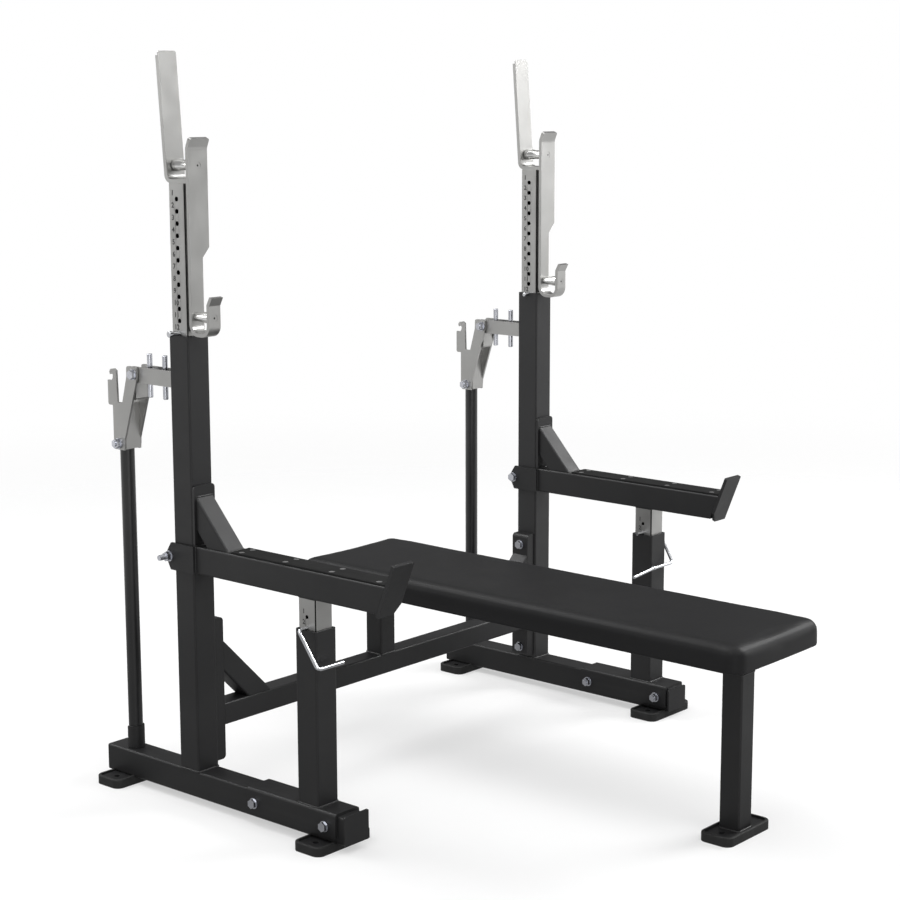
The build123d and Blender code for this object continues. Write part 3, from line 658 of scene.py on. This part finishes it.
# ---------------------------------------------------------------- make it all
welds()
threads()
gap_shades()
axle_hole_shades()
for side in SIDES:
    numbers("height_numbers_" + side, "inner_" + side, "inner_upright_" + side, TOP_HEIGHT_HOLE[side],
            HEIGHT_PITCH, HEIGHT_HOLES, rear=16.0 * MM, lift=7.5 * MM, size=15.5 * MM)
    numbers("safety_numbers_" + side, "safety_" + side, "post_slider_" + side, TOP_SAFETY_HOLE,
            SAFETY_PITCH, SAFETY_HOLES, rear=12.5 * MM, lift=7.0 * MM, size=14.0 * MM)
bench_cushion()
dust_cover()


# --------------------------------------------------------------------- studio
def glow(name, strength):
    """Plain white emission for the backdrop."""
    made = bpy.data.materials.new(name)
    made.use_nodes = True
    tree = made.node_tree
    tree.nodes.clear()
    emit = tree.nodes.new("ShaderNodeEmission")
    emit.inputs["Strength"].default_value = strength
    link(tree, emit.outputs["Emission"], tree.nodes.new("ShaderNodeOutputMaterial").inputs["Surface"])
    return made


def radial(tree, near, far, at_near, at_far):
    """A value that runs smoothly between two radii about the origin."""
    length = tree.nodes.new("ShaderNodeVectorMath")
    length.operation = "LENGTH"
    link(tree, tree.nodes.new("ShaderNodeTexCoord").outputs["Object"], length.inputs[0])
    fade = tree.nodes.new("ShaderNodeMapRange")
    fade.interpolation_type = "SMOOTHSTEP"
    fade.inputs["From Min"].default_value = near
    fade.inputs["From Max"].default_value = far
    fade.inputs["To Min"].default_value = at_near
    fade.inputs["To Max"].default_value = at_far
    link(tree, length.outputs["Value"], fade.inputs["Value"])
    return fade.outputs["Result"]


def fading_floor(near, far):
    """Pale floor that melts into the white backdrop between two radii."""
    made = material("studio_floor", (0.38, 0.38, 0.38), (0.385, 0.385, 0.385), (0.8, 0.9), specular=0.1)
    shader = made.node_tree.nodes["Principled BSDF"]
    shader.inputs["Emission Color"].default_value = (1, 1, 1, 1)
    shader.inputs["Emission Strength"].default_value = 0.50
    link(made.node_tree, radial(made.node_tree, near, far, 1.0, 0.0), shader.inputs["Alpha"])
    return made


def floor_glow(near, far, strength):
    """What the metal sees of the floor: dim near the feet, bright further out."""
    made = glow("floor_glow", strength)
    tree = made.node_tree
    emit = tree.nodes["Emission"]
    link(tree, radial(tree, near, far, 0.37 * strength, strength), emit.inputs["Strength"])
    return made


def disc(name, radius, place, made):
    """Flat round sheet of the studio."""
    bm = bmesh.new()
    bmesh.ops.create_circle(bm, cap_ends=True, segments=96, radius=radius)
    mesh = bpy.data.meshes.new(name)
    bm.to_mesh(mesh)
    bm.free()
    obj = bpy.data.objects.new(name, mesh)
    obj.location = place
    bpy.context.scene.collection.objects.link(obj)
    paint(obj, made)
    return obj


def only(obj, *rays):
    """Limits an object of the studio to some kinds of ray."""
    for ray in ("camera", "diffuse", "glossy", "transmission", "volume_scatter", "shadow"):
        setattr(obj, "visible_" + ray, ray in rays)


def sky():
    """Soft surround: brightest a little above the horizon, dimmer below, overhead and to one side."""
    world = bpy.data.worlds.new("studio")
    world.use_nodes = True
    tree = world.node_tree
    split = tree.nodes.new("ShaderNodeSeparateXYZ")
    link(tree, tree.nodes.new("ShaderNodeTexCoord").outputs["Generated"], split.inputs["Vector"])
    height = tree.nodes.new("ShaderNodeMapRange")
    height.inputs["From Min"].default_value = -1.0
    link(tree, split.outputs["Z"], height.inputs["Value"])
    ramp = tree.nodes.new("ShaderNodeValToRGB")
    ramp.color_ramp.interpolation = "EASE"
    stops = ((0.35, 0.22), (0.50, 0.40), (0.57, 0.44), (0.68, 0.40), (1.0, 0.36))
    while len(ramp.color_ramp.elements) < len(stops):
        ramp.color_ramp.elements.new(0.5)
    for element, (place, value) in zip(ramp.color_ramp.elements, stops):
        element.position = place
        element.color = (value, value, value, 1)
    link(tree, height.outputs["Result"], ramp.inputs["Fac"])
    link(tree, ramp.outputs["Color"], tree.nodes["Background"].inputs["Color"])
    toward = tree.nodes.new("ShaderNodeVectorMath")
    toward.operation = "DOT_PRODUCT"
    toward.inputs[1].default_value = (0.755, 0.656, 0.0)  # the side that is dimmed
    link(tree, tree.nodes.new("ShaderNodeTexCoord").outputs["Generated"], toward.inputs[0])
    shade = tree.nodes.new("ShaderNodeMapRange")
    shade.interpolation_type = "SMOOTHSTEP"
    shade.inputs["From Min"].default_value = 0.55
    shade.inputs["From Max"].default_value = 0.95
    shade.inputs["To Min"].default_value = 1.0
    shade.inputs["To Max"].default_value = 0.42
    link(tree, toward.outputs["Value"], shade.inputs["Value"])
    link(tree, shade.outputs["Result"], tree.nodes["Background"].inputs["Strength"])
    return world


def studio():
    """Pale floor, white backdrop and soft lights all round."""
    scene = bpy.context.scene
    scene.view_settings.view_transform = "Standard"
    floor = disc("floor", 7.0, (0, 0, 0), fading_floor(1.8, 5.5))
    only(floor, "camera", "diffuse", "transmission", "shadow")
    # its dim middle lies beside the left rack
    mirror = disc("floor_seen_by_metal", 9.0, (-0.8, 0.3, -0.001), floor_glow(1.0, 3.2, 0.95))
    only(mirror, "glossy")
    bm = bmesh.new()
    bmesh.ops.create_uvsphere(bm, u_segments=48, v_segments=24, radius=30.0)
    mesh = bpy.data.meshes.new("backdrop")
    bm.to_mesh(mesh)
    bm.free()
    dome = bpy.data.objects.new("backdrop", mesh)
    scene.collection.objects.link(dome)
    paint(dome, glow("white_backdrop", 1.0))
    only(dome, "camera")
    scene.world = sky()
    # name, direction and elevation in degrees, distance and size in metres, power in watts
    lamps = (("overhead", 200, 86, 5.0, 6.0, 170),
             ("key_right", -26, 34, 5.6, 2.4, 205),
             ("key_rear", 103, 46, 5.6, 2.6, 125),
             ("key_left", 190, 42, 5.6, 2.6, 55),
             ("key_front", 262, 42, 5.6, 2.6, 55),
             ("side_right", -28, 8, 6.7, 2.4, 35),
             ("side_left", 121, 14, 6.7, 2.4, 45),
             ("front_low", 229, 0, 5.0, 1.8, 20),
             ("back_low", 45, 12, 5.4, 2.4, 1))
    middle = Vector((0, 0, 0.7))
    for name, turn, rise, distance, size, power in lamps:
        a, b = math.radians(turn), math.radians(rise)
        way = Vector((math.cos(b) * math.cos(a), math.cos(b) * math.sin(a), math.sin(b)))
        light = bpy.data.lights.new(name, "AREA")
        light.shape = "DISK"
        light.size = size
        light.energy = power
        lamp = bpy.data.objects.new(name, light)
        lamp.location = middle + way * distance
        lamp.rotation_euler = way.to_track_quat("Z", "Y").to_euler()
        lamp.visible_camera = False
        scene.collection.objects.link(lamp)


def camera():
    """Camera at the photograph's viewing angle: beyond the foot end, to the left, looking slightly down."""
    place = Vector((-3.44336, -2.78950, 1.54824))
    heading, pitch, roll = (math.radians(angle) for angle in (40.92676, -10.16555, -0.14284))
    level = math.cos(pitch)
    ahead = Vector((level * math.cos(heading), level * math.sin(heading), math.sin(pitch)))
    turn = ahead.to_track_quat("-Z", "Y").to_matrix().to_4x4() @ Matrix.Rotation(roll, 4, "Z")
    data = bpy.data.cameras.new("camera")
    data.sensor_width = 36.0
    data.lens = 80.512
    data.clip_end = 200.0
    obj = bpy.data.objects.new("camera", data)
    obj.matrix_world = Matrix.Translation(place) @ turn
    bpy.context.scene.collection.objects.link(obj)
    bpy.context.scene.camera = obj


studio()
camera()
